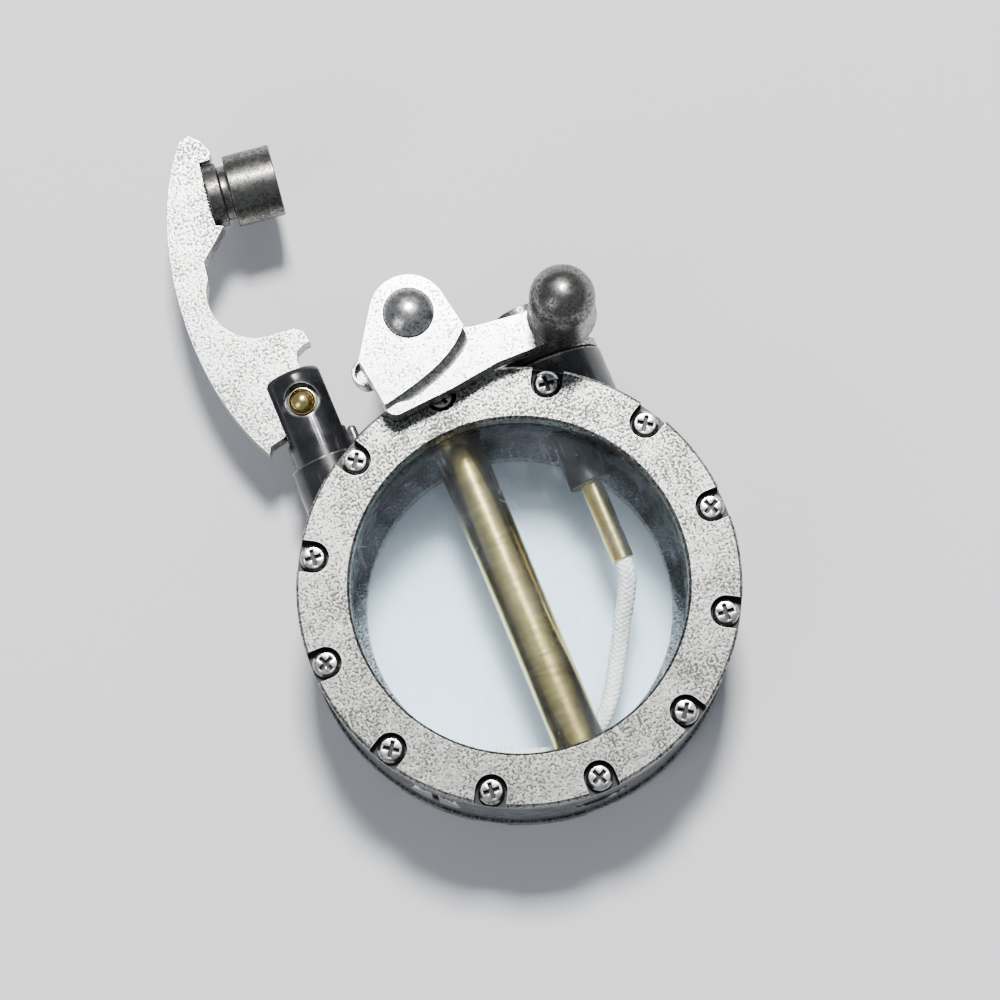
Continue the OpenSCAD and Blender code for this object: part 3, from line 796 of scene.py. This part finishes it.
def lever_spring_route():
    """Torsion spring about the axle, with a fixed leg below and a free leg under the lever."""
    low, high, r, start = LEVER_SPRING_LOW, LEVER_SPRING_HIGH, LEVER_SPRING_R, math.radians(215)
    turns = LEVER_SPRING_TURNS
    angles = [math.tau * i / 32 for i in range(turns * 32 + 1)]
    coil = [(r * math.cos(start + a), AXLE[1] + r * math.sin(start + a),
             low + (high - low) * a / math.tau / turns) for a in angles]
    fixed = [(-6.4, 27.4, low), (-5.6, 27.9, low), (-4.5, 28.6, low), (-3.3, 29.8, low)]
    free = [(-1.1, 29.4, high), (0.6, 28.4, high), (2.4, 27.2, high), (4, 26.2, high)]
    return fixed + coil + free


# The joint that presses each spring, the spring's fixed end along Y, and the share of its length kept.
PRESSED_SPRINGS = {
    "flint_spring": ("flint_feed", -18.45, 0.92),
    "arm_plunger_spring": ("arm_grip", 17.85, 0.95),
}


class LIGHTER_OT_springs(Piece, bpy.types.Operator):
    """Winds the flint, plunger and lever springs"""

    bl_idname = "lighter.springs"
    bl_label = "Springs"

    def execute(self, context):
        springs = (
            ("flint_spring", coil_y(0, 1.15, -18.25, 40.57, 16), 0.2),
            ("arm_plunger_spring", coil_y(PIVOT[0], 0.85, 18.03, 4.94, 5), 0.18),
            ("lever_spring", lever_spring_route(), 0.3),
        )
        for name, route, radius in springs:
            spring = new_object(name + "_wire", tube_mesh(name + "_wire", mm(route), radius * MM, 12))
            dress(spring, "spring_steel")
            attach(spring, "case")
            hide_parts(name)
            if name in PRESSED_SPRINGS:
                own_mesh(spring)
        return {"FINISHED"}


def speck_mesh(count):
    """Lint and dust that lie on the front window."""
    draw = random.Random(7)
    z = FRONT_WINDOW_Z
    bm = bmesh.new()
    for i in range(count):
        r, a = FRONT_WINDOW_R * math.sqrt(draw.random()), draw.uniform(0, math.tau)
        x, y, turn = r * math.cos(a), r * math.sin(a), draw.uniform(0, math.tau)
        if i % 5 == 0:
            length, bend = draw.uniform(0.5, 1.6), draw.uniform(-0.8, 0.8)
            route = [(x + length * t * math.cos(turn + bend * t), y + length * t * math.sin(turn + bend * t),
                      z + 0.03 + 0.06 * math.sin(math.pi * t)) for t in (k / 8 for k in range(9))]
            part = tube_mesh("fibre", mm(route), 0.012 * MM, 5)
            bm.from_mesh(part)
            bpy.data.meshes.remove(part)
        else:
            size = draw.uniform(0.02, 0.05) * MM
            place = Matrix.Translation(Vector((x, y, z + 0.01)) * MM)
            bmesh.ops.create_icosphere(bm, subdivisions=1, radius=size, matrix=place)
    mesh = bpy.data.meshes.new("window_lint")
    bm.to_mesh(mesh)
    bm.free()
    return mesh


class LIGHTER_OT_dust(Piece, bpy.types.Operator):
    """Lays lint and dust on the front window"""

    bl_idname = "lighter.dust"
    bl_label = "Dust"

    def execute(self, context):
        lint = dress(new_object("window_lint", speck_mesh(settings().dust)), "dust")
        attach(lint, "case")
        return {"FINISHED"}


# ---- stage ----

# Half the floor's side
FLOOR_HALF = 3.0
# Point at which both lights look
LIGHTS_AIM = (0.0, 0.015, 0.01)
# Camera's place in millimetres, and its own axes
CAMERA_AT = (-24.0, -62.0, 405.8)
CAMERA_RIGHT = (0.924776, -0.380399, -0.009168)
CAMERA_UP = (0.374873, 0.906680, 0.193380)
CAMERA_BACK = (-0.065249, -0.182268, 0.981080)


def soft_light(name, at, size, power, colour=(1.0, 1.0, 1.0)):
    light = bpy.data.lights.new(name, "AREA")
    light.shape = "RECTANGLE"
    light.size, light.size_y = size
    light.energy = power
    light.color = colour
    obj = bpy.data.objects.new(name, light)
    bpy.context.collection.objects.link(obj)
    obj.location = Vector(at)
    obj.rotation_euler = (Vector(LIGHTS_AIM) - Vector(at)).to_track_quat("-Z", "Y").to_euler()
    return obj


class LIGHTER_OT_stage(bpy.types.Operator):
    """Sets the pale floor, soft lights and camera"""

    bl_idname = "lighter.stage"
    bl_label = "Stage"
    bl_options = {"REGISTER", "UNDO"}

    def execute(self, context):
        scene = context.scene
        mesh = bpy.data.meshes.new("floor")
        s = FLOOR_HALF
        mesh.from_pydata([(-s, -s, 0), (s, -s, 0), (s, s, 0), (-s, s, 0)], [], [(0, 1, 2, 3)])
        floor = new_object("floor", mesh)
        g = Graph("floor_white")
        g.set(Base_Color=(0.86, 0.86, 0.87, 1.0), Roughness=0.85)
        mesh.materials.append(g.material)

        world = bpy.data.worlds.new("studio")
        world.use_nodes = True
        sky = world.node_tree.nodes["Background"]
        sky.inputs[0].default_value = (0.80, 0.87, 1.0, 1.0)
        sky.inputs[1].default_value = 0.30
        scene.world = world

        soft_light("key", (0.16, 0.39, 0.92), (0.17, 0.17), 17.0)
        soft_light("fill", (-0.75, -0.25, 0.70), (0.4, 0.6), 2.0, (0.93, 0.96, 1.0))

        camera = bpy.data.cameras.new("camera")
        camera.sensor_width = 36.0
        camera.lens = 126.0
        camera.clip_start = 0.01
        obj = bpy.data.objects.new("camera", camera)
        context.collection.objects.link(obj)
        columns = Matrix((CAMERA_RIGHT, CAMERA_UP, CAMERA_BACK)).transposed().to_4x4()
        obj.matrix_world = Matrix.Translation(Vector(CAMERA_AT) * MM) @ columns
        scene.camera = obj
        return {"FINISHED"}


class LIGHTER_PT_panel(bpy.types.Panel):
    """Sidebar panel that lists the build steps"""

    bl_label = "Lift-arm lighter"
    bl_idname = "LIGHTER_PT_panel"
    bl_space_type = "VIEW_3D"
    bl_region_type = "UI"
    bl_category = "Lighter"

    def draw(self, context):
        for name in LighterSettings.__annotations__:
            self.layout.prop(context.scene.lighter, name)
        for step in STEPS:
            self.layout.operator(step.bl_idname)


STEPS = (
    LIGHTER_OT_tank,
    LIGHTER_OT_flint,
    LIGHTER_OT_wick,
    LIGHTER_OT_arm,
    LIGHTER_OT_striker,
    LIGHTER_OT_springs,
    LIGHTER_OT_dust,
    LIGHTER_OT_stage,
)
CLASSES = (LighterSettings, *STEPS, LIGHTER_PT_panel)


def register():
    for cls in CLASSES:
        bpy.utils.register_class(cls)
    bpy.types.Scene.lighter = bpy.props.PointerProperty(type=LighterSettings)


def unregister():
    del bpy.types.Scene.lighter
    for cls in reversed(CLASSES):
        bpy.utils.unregister_class(cls)


def main():
    register()
    make_materials()
    for step in STEPS:
        group, name = step.bl_idname.split(".")
        getattr(getattr(bpy.ops, group), name)()


if __name__ == "__main__":
    main()
